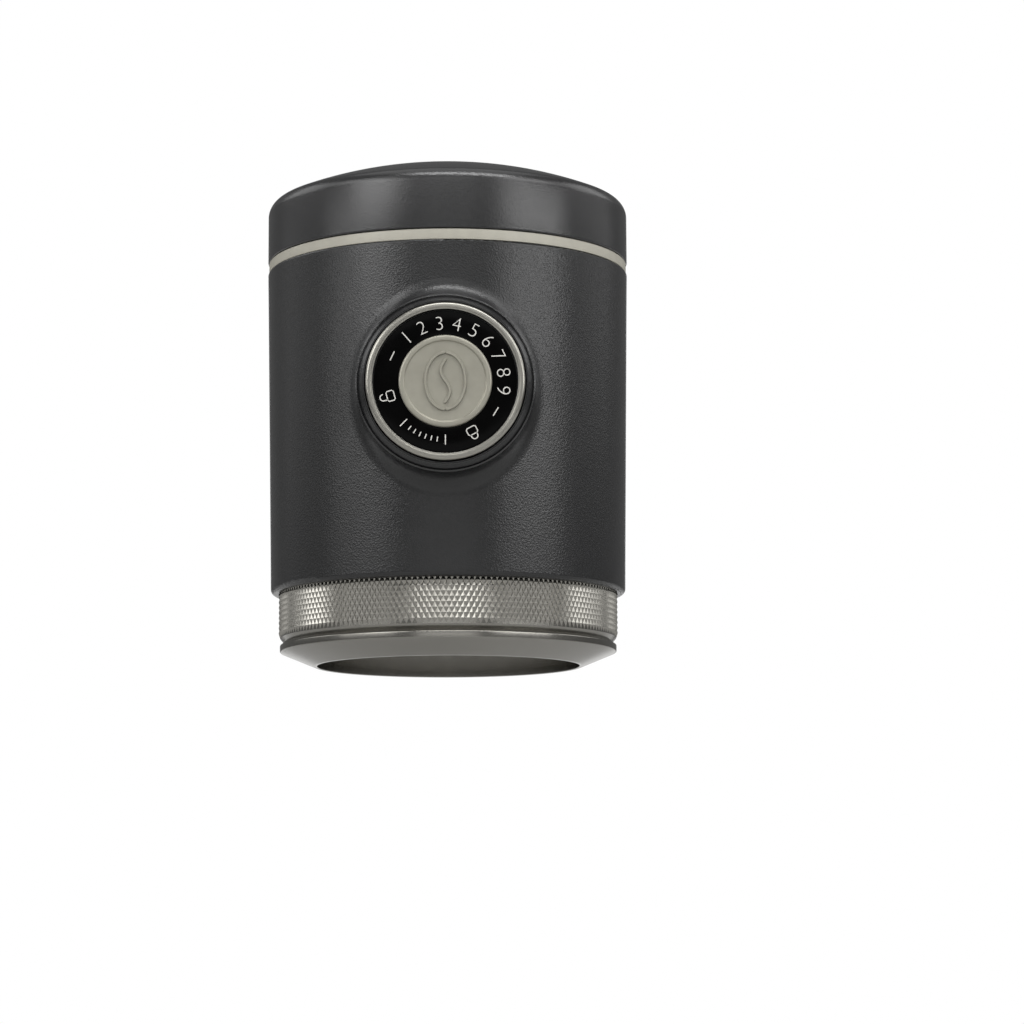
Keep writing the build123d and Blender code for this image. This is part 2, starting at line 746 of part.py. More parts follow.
def make_spring_washer():
    return level_tube(washer_radius, rod_radius + slip_fit, washer_front_y, washer_back_y)


def make_return_spring():
    length = sleeve_floor_y - washer_back_y - 2 * spring_wire_radius
    coil = Helix(pitch=length / spring_turns, height=length, radius=spring_radius)
    section = Plane(origin=coil @ 0, z_dir=coil % 0) * Circle(spring_wire_radius)
    wire = sweep(section, path=coil, is_frenet=True)
    return pump_plane(washer_back_y + spring_wire_radius) * wire


# ================================================================ knob
def make_knob_shell():
    shell = level_disc(knob_radius, bezel_back_y, lug_front_y)
    shell -= level_disc(knob_radius - knob_wall, plate_back_y, lug_front_y)
    shell -= level_disc(rod_journal_radius + slip_fit, bezel_back_y, plate_back_y)
    return shell - level_disc(knob_recess_radius, bezel_back_y, recess_floor_y)


def make_bayonet_ring():
    ring = level_tube(knob_radius, knob_radius - knob_wall, lug_front_y, skirt_end_y)
    for side in (0, 180):
        ring += level_sector(knob_radius - knob_wall / 2, lug_radius, side - lug_half_angle,
                             side + lug_half_angle, lug_front_y, skirt_end_y)
    return ring


def make_knob_bezel():
    ring = level_tube(knob_radius, knob_radius - bezel_width, knob_face_y, bezel_back_y)
    return fillet(ring.edges().group_by(Axis.Y)[0], bezel_round)


def make_dial_plate():
    outer = knob_radius - bezel_width - slip_fit
    return level_tube(outer, badge_radius + slip_fit, bezel_back_y - dial_thickness, bezel_back_y)


def make_knob_badge():
    front = bezel_back_y - badge_thickness
    badge = level_disc(badge_radius, front, bezel_back_y)
    badge = fillet(badge.edges().group_by(Axis.Y)[0], badge_rim_height)
    return badge - level_disc(badge_radius - badge_rim_width, front, front + badge_rim_height)


def make_knob_screw():
    seat = recess_floor_y - face_gap
    front = seat - knob_screw_head_height
    head = level_disc(knob_screw_head_radius, front, seat)
    shank = level_disc(knob_screw_radius, seat, seat + knob_screw_length)
    hexagon = pump_plane(front) * RegularPolygon(knob_screw_hex / 2, 6)
    return head + shank - extrude(hexagon, screw_socket_depth)


# ================================================================ tank
def behind(y, low, high):
    """Large block that holds everything behind a depth, between two heights."""
    span = 3 * body_top_radius
    return Pos(0, y + span / 2, low) * Box(span, span, high - low, align=FROM_BOTTOM)


def tank_screw_places():
    x = strainer_radius + screw_head_radius + loose_fit
    return [(-x, port_y), (x, port_y)]


def make_tank():
    tank = disc(neck_radius, tank_floor_bottom_z, neck_top_z)
    tank += disc(neck_radius, block_top_z, tank_floor_z) & behind(well_front_y, block_top_z, tank_floor_z)
    tank += disc(tank_flange_radius, tank_flange_z, body_top_z)
    tank -= disc(tank_bore_radius, tank_floor_z, neck_top_z)
    well = disc(tank_bore_radius, well_floor_z, tank_floor_z)
    tank -= well & behind(well_front_y + tank_floor, well_floor_z, tank_floor_z)
    tank -= disc(port_radius, block_top_z, well_floor_z, 0, port_y)
    for x, y in tank_screw_places():
        tank -= disc(screw_radius + slip_fit, block_top_z, well_floor_z, x, y)
    ridge = helical_ridge(neck_radius - slip_fit, neck_crest_radius, lid_root_width,
                          lid_crest_width, lid_pitch, lid_turns, neck_thread_z)
    return tank + ridge


def make_tank_strainer():
    places = [(0, 0)] + sieve_places(strainer_radius - strainer_hole_margin, strainer_hole_pitch)
    top = sieve(strainer_radius, strainer_hole_radius, places,
                strainer_height / 2, strainer_height)
    wall = tube(strainer_radius, port_radius + loose_fit, 0, strainer_height / 2)
    return Pos(0, port_y, well_floor_z) * (top + wall)


def make_tank_screws():
    return [upright_screw(x, y, well_floor_z, tank_screw_length) for x, y in tank_screw_places()]


# ================================================================ lid
def make_lid_cap():
    side = Pos(0, 0, lid_bottom_z) * Cone(lid_radius, lid_radius - lid_draft, lid_top_z - lid_bottom_z,
                                          align=FROM_BOTTOM)
    outer = side & (Pos(0, 0, dome_centre_z) * Sphere(lid_dome_radius))
    outer = fillet(dome_edge(outer), lid_edge_round)
    inner = dome(liner_radius + slip_fit, lid_dome_radius - lid_wall, lid_bottom_z)
    inner = fillet(dome_edge(inner), lid_edge_round - lid_wall)
    return outer - inner


def make_lid_liner():
    sphere_radius = lid_dome_radius - lid_wall - slip_fit
    outer = dome(liner_radius, sphere_radius, liner_bottom_z)
    outer = fillet(dome_edge(outer), lid_edge_round - lid_wall)
    bore = disc(liner_root_radius, liner_bottom_z, gasket_seat_z)
    hollow = dome(lid_gasket_inner_radius - lid_gasket_width / 2, sphere_radius - liner_crown,
                  gasket_seat_z)
    crown_z = dome_centre_z + sphere_radius
    boss = disc(vent_boss_radius, crown_z - vent_boss_drop, crown_z - liner_crown / 2)
    pocket = disc(vent_flange_radius + slide_fit, crown_z - vent_pocket_depth, crown_z + 1)
    hole = disc(vent_body_radius + slide_fit, crown_z - vent_boss_drop, crown_z)
    ridge = helical_ridge(liner_root_radius + slip_fit, liner_crest_radius, lid_root_width,
                          lid_crest_width, lid_pitch, lid_turns, liner_thread_z)
    return outer - bore - hollow + boss - pocket - hole + ridge


def make_vent_valve():
    crown_z = dome_centre_z + lid_dome_radius - lid_wall - slip_fit
    seat = crown_z - vent_pocket_depth + face_gap
    return duckbill(0, 0, seat, vent_flange_radius, vent_body_radius, vent_length, vent_bore_radius)


def make_lid_gasket():
    return tube(lid_gasket_inner_radius + lid_gasket_width, lid_gasket_inner_radius,
                neck_top_z + face_gap, gasket_seat_z)


# ================================================================ write the parts
PARTS = {
    "filter_basket": make_filter_basket,
    "portafilter_ring": make_portafilter_ring,
    "thread_insert": make_thread_insert,
    "brew_head": make_brew_head,
    "group_gasket": make_group_gasket,
    "dispersion_plate": make_dispersion_plate,
    "dispersion_screen": make_dispersion_screen,
    "screen_screw": make_screen_screw,
    "head_screws": make_head_screws,
    "body_shell": make_body_shell,
    "trim_ring": make_trim_ring,
    "lock_sleeve": make_lock_sleeve,
    "pump_cylinder": make_pump_cylinder,
    "sleeve_screws": make_sleeve_screws,
    "rod_guide": make_rod_guide,
    "rod_seal": make_rod_seal,
    "pump_block": make_pump_block,
    "block_screws": make_block_screws,
    "inlet_valve": make_inlet_valve,
    "outlet_valve": make_outlet_valve,
    "piston_head": make_piston_head,
    "piston_seal": make_piston_seal,
    "piston_rod": make_piston_rod,
    "spring_washer": make_spring_washer,
    "return_spring": make_return_spring,
    "knob_shell": make_knob_shell,
    "bayonet_ring": make_bayonet_ring,
    "knob_bezel": make_knob_bezel,
    "dial_plate": make_dial_plate,
    "knob_badge": make_knob_badge,
    "knob_screw": make_knob_screw,
    "tank": make_tank,
    "tank_strainer": make_tank_strainer,
    "tank_screws": make_tank_screws,
    "lid_cap": make_lid_cap,
    "lid_liner": make_lid_liner,
    "vent_valve": make_vent_valve,
    "lid_gasket": make_lid_gasket,
}

os.makedirs("parts", exist_ok=True)
for name, make in PARTS.items():
    shape = make()
    if isinstance(shape, list):
        shape = Compound(children=shape)
    export_step(shape, f"parts/{name}.step")
    print(f"{name}: {shape.volume:.0f} mm3")
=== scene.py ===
"""Looks of the handheld manual espresso maker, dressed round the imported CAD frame.

Lengths in the text are millimetres and are turned into metres by MM. +Z is up and the knob points to -Y.
"""

import json
import math

import bmesh
import bpy
from mathutils import Matrix, Vector


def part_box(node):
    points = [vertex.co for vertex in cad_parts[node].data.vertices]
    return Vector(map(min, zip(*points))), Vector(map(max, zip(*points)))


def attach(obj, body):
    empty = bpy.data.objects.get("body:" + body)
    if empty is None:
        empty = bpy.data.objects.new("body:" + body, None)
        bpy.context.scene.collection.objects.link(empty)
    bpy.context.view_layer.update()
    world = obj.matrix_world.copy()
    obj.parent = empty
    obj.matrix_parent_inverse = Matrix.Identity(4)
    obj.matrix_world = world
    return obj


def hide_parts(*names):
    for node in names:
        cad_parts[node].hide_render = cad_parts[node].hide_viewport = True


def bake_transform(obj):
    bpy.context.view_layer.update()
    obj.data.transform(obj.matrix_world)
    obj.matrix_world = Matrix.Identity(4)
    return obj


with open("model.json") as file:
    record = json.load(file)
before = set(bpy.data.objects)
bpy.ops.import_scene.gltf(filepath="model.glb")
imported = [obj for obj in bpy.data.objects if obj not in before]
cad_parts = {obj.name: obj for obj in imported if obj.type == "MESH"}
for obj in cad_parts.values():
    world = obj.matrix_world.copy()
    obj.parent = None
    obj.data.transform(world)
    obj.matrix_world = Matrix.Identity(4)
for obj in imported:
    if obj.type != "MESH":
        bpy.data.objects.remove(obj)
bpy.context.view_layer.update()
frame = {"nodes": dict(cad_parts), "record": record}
nodes = frame["nodes"]
MM = 0.001


# ================================================================ sizes read from the frame, in mm
def node_box(node):
    """Lowest and highest corner of a CAD node, in mm."""
    low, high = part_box(node)
    return low / MM, high / MM


def half_width(node):
    """Half of a CAD node's breadth, which is the radius of a turned one, in mm."""
    low, high = node_box(node)
    return (high.x - low.x) / 2


bezel_low, bezel_high = node_box("knob_bezel")
knob_z = (bezel_low.z + bezel_high.z) / 2
knob_face = -bezel_low.y
bezel_back = -bezel_high.y
bezel_radius = half_width("knob_bezel")
badge_radius = half_width("knob_badge")
badge_face = -node_box("knob_badge")[0].y
dial_face = -node_box("dial_plate")[0].y
dial_radius = half_width("dial_plate")
trim_low, trim_high = node_box("trim_ring")
trim_radius = half_width("trim_ring")
lid_low, lid_high = node_box("lid_cap")
lid_radius = half_width("lid_cap")
ring_top = node_box("portafilter_ring")[1].z
knurl_crest = half_width("portafilter_ring")
spring_low, spring_high = node_box("return_spring")

# ================================================================ sizes of the finer forms, in mm
# the fine round on edges that look sharp, and the hair's breadth that keeps a form inside the CAD box
hair_edge = 0.12
hair_gap = 0.001
weld_distance = 0.00001

# how finely turned forms, round corners and threads are divided
round_segments = 256
fine_segments = 384
corner_steps = 6
thread_steps_per_turn = 96
thread_sink = 0.05

# basket holder, as in its CAD node but for the knurl
ring_shoulder = 15.0
knurl_bottom = 5.4
knurl_columns = 192
knurl_rows = 9
knurl_row_height = 1.01
knurl_depth = 0.30
groove_radius = 32.05
groove_height = 4.5
lip_radius = 32.85
lip_top = 3.95
lip_bottom = 2.75
lip_round = 0.22
land_radius = 26.2
opening_radius = 25.6
drip_lip_height = 1.5
guide_radius = 26.7
guide_top = 8.0
relief_radius = 28.0
flange_seat = 26.2
pocket_radius = 29.5
neck_root_radius = 31.3
neck_crest_radius = 32.05
brew_pitch = 4.0
brew_turns = 1.5
brew_thread_start = 19.0
brew_root_width = 1.8
brew_crest_width = 0.9

# lid and trim ring
lid_dome_radius = 86.0
lid_edge_round = 3.0
lid_wall = 1.4
lid_bore_radius = 34.05
lid_foot_round = 0.3
dome_steps = 24
trim_bore_radius = 32.5

# knob face; the bezel overhangs its CAD node, because the photograph's all but fills the collar
bezel_overhang = 0.2
bezel_width = 1.3
bezel_round = 0.60
bezel_rim_width = 0.30
bezel_rim_drop = 0.16
badge_rim = 1.1
badge_rim_round = 0.45
badge_rim_drop = 0.3
badge_rim_slope = 0.1
badge_rim_inner_round = 0.3
badge_field = badge_face - badge_rim_drop
dial_bore_gap = 0.05
bean_half_width = 3.7
bean_half_length = 5.3
bean_gap_degrees = 5.0
bean_line_width = 0.62
bean_rise = 0.50
bean_steps = 28
crease_swing = 0.85
crease_share = 0.74

# a line in relief: across it, share of half width and share of rise; turns that shape its round ends
relief_profile = (
    (-1, -0.05), (-1, 0), (-0.8, 0.8), (-0.55, 0.95),
    (0.55, 0.95), (0.8, 0.8), (1, 0), (1, -0.05))
cap_degrees = (75, 50, 25)

# bevels on the collar round the knob: outlines of radius and distance in front of the body's axis
collar_inner_bevel = ((15.07, 41.32), (15.31, 41.47), (15.45, 41.30), (15.07, 41.05))
collar_outer_bevel = ((16.42, 40.47), (16.70, 40.27), (16.66, 40.08), (16.42, 40.20))

# marks printed on the dial; turns in degrees from the right, where up is 90
mark_rise = 0.025
mark_width = 0.20
mark_profile = [(-1, -mark_rise), (-1, mark_rise), (1, mark_rise), (1, -mark_rise)]
mark_radius = 10.9
number_height = 2.5
number_thinning = 0.021
number_first = 131.0
number_last = -9.0
number_count = 9
scale_start = 225
scale_span = 45
long_tick = 1.7
short_tick = 0.75
short_tick_count = 6
short_tick_first = 1.35
short_tick_spaces = 7.7
dash_length = 1.7
dash_turns = (154, -31.5)
open_lock_turn = 195
closed_lock_turn = -62
lock_half_width = 0.95
lock_bottom = -1.15
lock_top = 0.25
lock_corner = 0.25
shackle_radius = 0.6
shackle_height = 0.6
shackle_lift = 0.35
shackle_step_degrees = 20

# return spring
spring_mean_radius = 8.6
spring_wire_radius = 0.6
spring_turns = 8
spring_steps_per_turn = 48
wire_sides = 12

# ================================================================ sizes of camera, floor, cards and lamps
# camera: fitted to the photograph; place in mm
frame_px = 1024
sensor_width = 36.0
clip_near = 0.05
clip_far = 10.0
camera_focal_px = 3244
camera_place = Vector((0, -632, -53.23))
camera_azimuth = math.radians(0.67)
camera_pitch = math.radians(7.541)
camera_yaw = math.radians(1.137)
camera_roll = math.radians(-0.25)

# world and cards, in mm; the cards' heights are those of the gap's foot, the gap's top and the roof
ambient_glow = 0.30
card_count = 60
card_glow = 0.16
card_distance = 800.0
card_heights = (-130.0, 310.0, 1000.0)
card_gap_degrees = 12

# floor, in mm; it fades between two distances in metres
floor_height = -90.0
floor_radii = (150, 300, 450, 600)
floor_segments = 96
floor_colour = (0.46, 0.46, 0.455)
floor_fade_start = 0.30
floor_fade_end = 0.58

# lamps, in metres
aim_height = 0.05
lamp_distance = 0.75
softboxes = [
    # name, turns from the front in degrees, rises in degrees, brightness
    ("left_far", (-130, -80), (4, 14.5), 0.3),
    ("left_back_top", (-130, -85), (20, 45), 1.4),
    ("left_low", (-86, -26), (4, 9), 1.5),
    ("left_strip", (-92, -27), (9, 14.5), 2.1),
    ("left_high", (-58, -28), (14.5, 28), 4.8),
    ("left_top", (-85, -30), (28, 45), 2.6),
    ("right_far", (86, 125), (10, 14.5), 0.8),
    ("right_back_top", (85, 130), (20, 45), 1.6),
    ("right_low", (26, 75), (4, 9), 1.6),
    ("right_strip", (28, 86), (9, 14.5), 5.2),
    ("right_high", (28, 58), (14.5, 28), 1.4),
    ("right_top", (30, 85), (28, 45), 3.0),
    ("front_low", (-28, 28), (-3, 5), 1.0),
    ("front_mid", (-28, 28), (14.5, 28), 1.3),
    ("front_top", (-30, 30), (28, 45), 0.6),
]
ceiling_lamps = [
    # name, place and sizes in metres, brightness
    ("front_ceiling", (0.15, -0.44, 0.85), (0.80, 0.26), 8.0),
    ("ceiling", (0, 0.1, 0.90), (0.80, 0.60), 0.7),
]

# ================================================================ the knob's own frame
# its axis is the local Z and points to the front
knob_place = Matrix.Translation((0, 0, knob_z * MM)) @ Matrix.Rotation(math.radians(90), 4, "X")


# ================================================================ mesh helpers
def new_piece(name, bm, place=Matrix(), sharp_degrees=30.0):
    """Makes an object from a bmesh in mm, with faces facing out and edges over an angle kept sharp."""
    bmesh.ops.remove_doubles(bm, verts=bm.verts, dist=weld_distance)
    bmesh.ops.recalc_face_normals(bm, faces=bm.faces)
    mesh = bpy.data.meshes.new(name)
    bm.to_mesh(mesh)
    bm.free()
    mesh.transform(place @ Matrix.Scale(MM, 4))
    mesh.shade_smooth()
    mesh.set_sharp_from_angle(angle=math.radians(sharp_degrees))
    piece = bpy.data.objects.new(name, mesh)
    bpy.context.scene.collection.objects.link(piece)
    return piece


def add_ring(bm, radius, height, segments):
    """One level ring of vertices."""
    turns = [2 * math.pi * i / segments for i in range(segments)]
    return [bm.verts.new((radius * math.cos(a), radius * math.sin(a), height)) for a in turns]


def join_rings(bm, first, second):
    """A band of quads between two rings with as many vertices."""
    count = len(first)
    for i in range(count):
        k = (i + 1) % count
        bm.faces.new((first[i], first[k], second[k], second[i]))


def lathe(bm, outline, segments=round_segments, closed=True):
    """Turns an outline of (radius, height) points about the local Z axis; returns its rings."""
    rings = [add_ring(bm, radius, height, segments) for radius, height in outline]
    for first, second in zip(rings, rings[1:]):
        join_rings(bm, first, second)
    if closed:
        join_rings(bm, rings[-1], rings[0])
    return rings


def rounded(corners):
    """Outline from (radius, height, round) corners; each corner with a round becomes an arc."""
    outline = []
    for k, (x, y, size) in enumerate(corners):
        here = Vector((x, y))
        if not size:
            outline.append((x, y))
            continue
        back = (Vector(corners[k - 1][:2]) - here).normalized()
        onward = (Vector(corners[(k + 1) % len(corners)][:2]) - here).normalized()
        half = back.angle(onward) / 2
        centre = here + (back + onward).normalized() * (size / math.sin(half))
        start = here + back * (size / math.tan(half)) - centre
        end = here + onward * (size / math.tan(half)) - centre
        first = math.atan2(start.y, start.x)
        sweep = (math.atan2(end.y, end.x) - first + math.pi) % (2 * math.pi) - math.pi
        for i in range(corner_steps + 1):
            angle = first + sweep * i / corner_steps
            outline.append((centre.x + size * math.cos(angle), centre.y + size * math.sin(angle)))
    return outline


def sweep_loops(bm, places, closed=False):
    """Skins a row of equal loops of points; an open row gets end faces."""
    loops = [[bm.verts.new(point) for point in loop] for loop in places]
    for first, second in zip(loops, loops[1:]):
        join_rings(bm, first, second)
    if closed:
        join_rings(bm, loops[-1], loops[0])
    else:
        bm.faces.new(loops[0])
        bm.faces.new(list(reversed(loops[-1])))


def thread_ridge(bm, root, crest, root_width, crest_width, pitch, turns, start):
    """Right-handed outer thread ridge round the local Z axis, its foot sunk into the wall."""
    steps = int(thread_steps_per_turn * turns)
    inward = root - thread_sink
    section = [(inward, -root_width / 2), (crest, -crest_width / 2),
               (crest, crest_width / 2), (inward, root_width / 2)]
    loops = []
    for i in range(steps + 1):
        angle = 2 * math.pi * turns * i / steps
        height = start + pitch * turns * i / steps
        loops.append([(r * math.cos(angle), r * math.sin(angle), height + rise) for r, rise in section])
    sweep_loops(bm, loops)


# ================================================================ material helpers
class Surface:
    """A Principled material and short calls for the textures that drive it."""

    def __init__(self, name, colour, roughness, metallic=0.0, specular=0.5):
        """Sets what is the same all over; the calls below add the textures."""
        self.material = bpy.data.materials.new(name)
        self.material.use_nodes = True
        self.tree = self.material.node_tree
        self.shader = self.tree.nodes["Principled BSDF"]
        self.colour = colour
        self.roughness = roughness
        self.shader.inputs["Base Color"].default_value = (*colour, 1)
        self.shader.inputs["Roughness"].default_value = roughness
        self.shader.inputs["Metallic"].default_value = metallic
        self.shader.inputs["Specular IOR Level"].default_value = specular
        self.place = self.node("ShaderNodeTexCoord").outputs["Object"]

    def node(self, kind, **settings):
        """Adds a node of a kind and sets its properties."""
        made = self.tree.nodes.new(kind)
        for name, value in settings.items():
            setattr(made, name, value)
        return made

    def link(self, output, socket):
        """Joins an output to an input."""
        self.tree.links.new(output, socket)

    def stretched(self, x, y, z):
        """The object's coordinates, stretched along each axis."""
        mapping = self.node("ShaderNodeMapping")
        mapping.inputs["Scale"].default_value = (x, y, z)
        self.link(self.place, mapping.inputs["Vector"])
        return mapping.outputs["Vector"]

    def noise(self, size, detail=2.0, place=None):
        """Noise whose blotches are about size mm."""
        made = self.node("ShaderNodeTexNoise")
        made.inputs["Scale"].default_value = 1 / (size * MM)
        made.inputs["Detail"].default_value = detail
        self.link(place or self.place, made.inputs["Vector"])
        return made.outputs["Fac"]

    def cells(self, size):
        """Distance to the nearest of scattered points about size mm apart."""
        made = self.node("ShaderNodeTexVoronoi")
        made.inputs["Scale"].default_value = 1 / (size * MM)
        self.link(self.place, made.inputs["Vector"])
        return made.outputs["Distance"]

    def remap(self, value, low, high, from_low=0.3, from_high=0.7):
        """Maps a texture's middle range to new limits."""
        made = self.node("ShaderNodeMapRange")
        limits = {"From Min": from_low, "From Max": from_high, "To Min": low, "To Max": high}
        for name, number in limits.items():
            made.inputs[name].default_value = number
        self.link(value, made.inputs["Value"])
        return made.outputs["Result"]

    def vary_colour(self, value, spread):
        """Lets a texture lighten and darken the base colour by a share."""
        made = self.node("ShaderNodeMix", data_type="RGBA")
        made.inputs["A"].default_value = (*[c * (1 - spread) for c in self.colour], 1)
        made.inputs["B"].default_value = (*[min(1, c * (1 + spread)) for c in self.colour], 1)
        self.link(self.remap(value, 0, 1), made.inputs["Factor"])
        self.link(made.outputs["Result"], self.shader.inputs["Base Color"])

    def vary_roughness(self, value, spread):
        """Lets a texture raise and lower the roughness by spread."""
        self.link(self.remap(value, self.roughness - spread, self.roughness + spread),
                  self.shader.inputs["Roughness"])

    def bump(self, value, depth, strength, coat=False):
        """Raises and lowers the surface by up to depth mm."""
        made = self.node("ShaderNodeBump")
        made.inputs["Strength"].default_value = strength
        made.inputs["Distance"].default_value = depth * MM
        self.link(value, made.inputs["Height"])
        self.link(made.outputs["Normal"], self.shader.inputs["Normal"])
        if coat:
            self.link(made.outputs["Normal"], self.shader.inputs["Coat Normal"])

    def coat(self, weight, roughness):
        """Lays a clear coat over the finish."""
        self.shader.inputs["Coat Weight"].default_value = weight
        self.shader.inputs["Coat Roughness"].default_value = roughness


def grained_coat(name, colour, roughness, specular, coat_weight=0.0, grain_strength=1.0):
    """Satin dark finish with a fine leather-like grain, with or without a clear coat."""
    surface = Surface(name, colour, roughness, specular=specular)
    grain = surface.node("ShaderNodeMath", operation="ADD")
    surface.link(surface.cells(size=0.34), grain.inputs[0])
    surface.link(surface.noise(size=0.28), grain.inputs[1])
    surface.bump(grain.outputs["Value"], depth=0.024, strength=grain_strength, coat=True)
    surface.vary_colour(surface.noise(size=0.6), spread=0.10)
    surface.vary_roughness(surface.noise(size=6.0, detail=3.0), spread=0.02)
    surface.coat(coat_weight, roughness=0.05)
    return surface.material


def moulded_plastic(name, colour, roughness):
    """Moulded plastic with a faint spark texture and uneven gloss."""
    surface = Surface(name, colour, roughness, specular=0.4)
    surface.bump(surface.noise(size=0.35), depth=0.012, strength=0.5)
    surface.vary_colour(surface.noise(size=5.0, detail=3.0), spread=0.10)
    surface.vary_roughness(surface.noise(size=3.0, detail=3.0), spread=0.05)
    return surface.material


def gloss_plastic(name, colour):
    """Polished plastic with very fine hairline scuffs in its gloss."""
    surface = Surface(name, colour, roughness=0.12, specular=0.05)
    scuffs = surface.noise(size=0.8, detail=4.0, place=surface.stretched(1, 1, 6))
    surface.vary_roughness(scuffs, spread=0.04)
    surface.vary_colour(surface.noise(size=4.0), spread=0.2)
    surface.bump(surface.noise(size=9.0), depth=0.01, strength=0.3)
    return surface.material


def satin_paint(name, colour, roughness=0.42, metallic=0.0):
    """Satin pale paint with the faintest orange peel."""
    surface = Surface(name, colour, roughness, metallic, specular=0.4)
    surface.vary_colour(surface.noise(size=2.5, detail=3.0), spread=0.05)
    surface.vary_roughness(surface.noise(size=1.2), spread=0.05)
    surface.bump(surface.noise(size=0.5), depth=0.004, strength=0.5)
    return surface.material


def turned_steel(name, colour, roughness, depth):
    """Satin turned steel: fine level tool lines up to depth mm and a slightly uneven gloss."""
    surface = Surface(name, colour, roughness, metallic=1.0)
    lines = surface.noise(size=0.10, place=surface.stretched(0.05, 0.05, 1))
    surface.bump(lines, depth, strength=0.5)
    surface.vary_colour(surface.noise(size=2.5), spread=0.015)
    surface.vary_roughness(surface.noise(size=1.5, detail=3.0), spread=0.010)
    return surface.material


def sheet_steel(name, colour, roughness):
    """Pressed stainless sheet with faint drawing marks."""
    surface = Surface(name, colour, roughness, metallic=1.0)
    marks = surface.noise(size=0.25, detail=3.0, place=surface.stretched(0.1, 1, 0.1))
    surface.bump(marks, depth=0.004, strength=0.5)
    surface.vary_colour(surface.noise(size=3.0, detail=4.0), spread=0.06)
    surface.vary_roughness(surface.noise(size=1.5, detail=4.0), spread=0.06)
    return surface.material


def silicone(name, colour):
    """Moulded silicone: matt, slightly dusty."""
    surface = Surface(name, colour, roughness=0.62, specular=0.35)
    surface.vary_colour(surface.noise(size=1.0, detail=4.0), spread=0.18)
    surface.vary_roughness(surface.noise(size=0.6, detail=3.0), spread=0.08)
    surface.bump(surface.noise(size=0.2), depth=0.006, strength=0.5)
    return surface.material


materials = {
    "shell_coat": grained_coat(
        "shell_coat", (0.0085, 0.0086, 0.0090), roughness=0.33, specular=0.45, coat_weight=0.24),
    "lid_coat": grained_coat(
        "lid_coat", (0.0130, 0.0131, 0.0136), roughness=0.24, specular=0.66, grain_strength=0.8),
    "trim_paint": satin_paint("trim_paint", (0.335, 0.322, 0.273)),
    "badge_paint": satin_paint("badge_paint", (0.30, 0.289, 0.242), roughness=0.34, metallic=0.5),
    "mark_paint": satin_paint("mark_paint", (0.52, 0.51, 0.48), roughness=0.5),
    "bezel_metal": turned_steel("bezel_metal", (0.34, 0.331, 0.297), roughness=0.29, depth=0.0),
    "ring_steel": turned_steel("ring_steel", (0.30, 0.291, 0.266), roughness=0.22, depth=0.0003),
    "basket_steel": sheet_steel("basket_steel", (0.55, 0.54, 0.52), roughness=0.24),
    "dial_gloss": gloss_plastic("dial_gloss", (0.0015, 0.0015, 0.0015)),
    "knob_plastic": moulded_plastic("knob_plastic", (0.018, 0.018, 0.020), roughness=0.38),
    "inner_plastic": moulded_plastic("inner_plastic", (0.016, 0.016, 0.017), roughness=0.45),
    "seal_rubber": silicone("seal_rubber", (0.035, 0.034, 0.033)),
    "fastener_steel": sheet_steel("fastener_steel", (0.50, 0.50, 0.49), roughness=0.28),
    "spring_steel": sheet_steel("spring_steel", (0.48, 0.48, 0.48), roughness=0.30),
}


def dress(piece, slot, body, material=None):
    """Gives a piece the material named by slot, or by material where given, and the body that it rides on.
    """
    piece.data.materials.clear()
    piece.data.materials.append(materials[material or slot])
    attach(piece, body)


# ================================================================ CAD nodes, which keep their shape
def dress_nodes():
    """Each CAD node gets the material that its record's slot names."""
    slot_of = {part["node"]: part["material_slot"] for part in frame["record"]["subparts"]}
    for name, node in nodes.items():
        node.data.materials.clear()
        node.data.materials.append(materials[slot_of[name]])


# ================================================================ basket holder
def knurl_band(bm):
    """Diamond knurl: a grid whose points lie by turns in a groove and on a peak; returns its end rings."""
    segments = 2 * knurl_columns
    rows = []
    for k in range(knurl_rows + 1):
        row = []
        for i in range(segments):
            in_groove = k == 0 or (k + i) % 2 == 0
            radius = knurl_crest - knurl_depth * in_groove
            angle = 2 * math.pi * i / segments
            height = knurl_bottom + knurl_row_height * k
            row.append(bm.verts.new((radius * math.cos(angle), radius * math.sin(angle), height)))
        rows.append(row)
    for k, (low, high) in enumerate(zip(rows, rows[1:])):
        for i in range(segments):
            n = (i + 1) % segments
            if (k + i) % 2 == 0:
                halves = ((low[i], low[n], high[n]), (low[i], high[n], high[i]))
            else:
                halves = ((low[i], low[n], high[i]), (low[n], high[n], high[i]))
            for half in halves:
                bm.faces.new(half)
    return rows[0], rows[-1]


def make_basket_holder():
    """The knurled ring with its lip, its bore and its threaded neck."""
    bm = bmesh.new()
    bottom, top = knurl_band(bm)
    floor_radius = knurl_crest - knurl_depth
    corners = [
        (groove_radius, groove_height, 0),
        (lip_radius, lip_top, lip_round), (lip_radius, lip_bottom, lip_round),
        (land_radius, hair_gap, hair_edge), (opening_radius, hair_gap, hair_edge),
        (opening_radius, drip_lip_height, 0), (guide_radius, drip_lip_height, 0),
        (guide_radius, guide_top, 0), (relief_radius, guide_top, 0),
        (relief_radius, flange_seat, 0), (pocket_radius, flange_seat, 0),
        (pocket_radius, ring_top, hair_edge), (neck_root_radius, ring_top, hair_edge),
        (neck_root_radius, ring_shoulder, 0),
        (floor_radius, ring_shoulder, 0)]
    rings = lathe(bm, rounded(corners), 2 * knurl_columns, closed=False)
    join_rings(bm, rings[0], bottom)
    join_rings(bm, rings[-1], top)
    thread_ridge(bm, neck_root_radius, neck_crest_radius, brew_root_width, brew_crest_width,
                 brew_pitch, brew_turns, brew_thread_start)
    holder = new_piece("basket_holder", bm, sharp_degrees=22)
    dress(holder, "ring_steel", "portafilter")
    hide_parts("portafilter_ring")


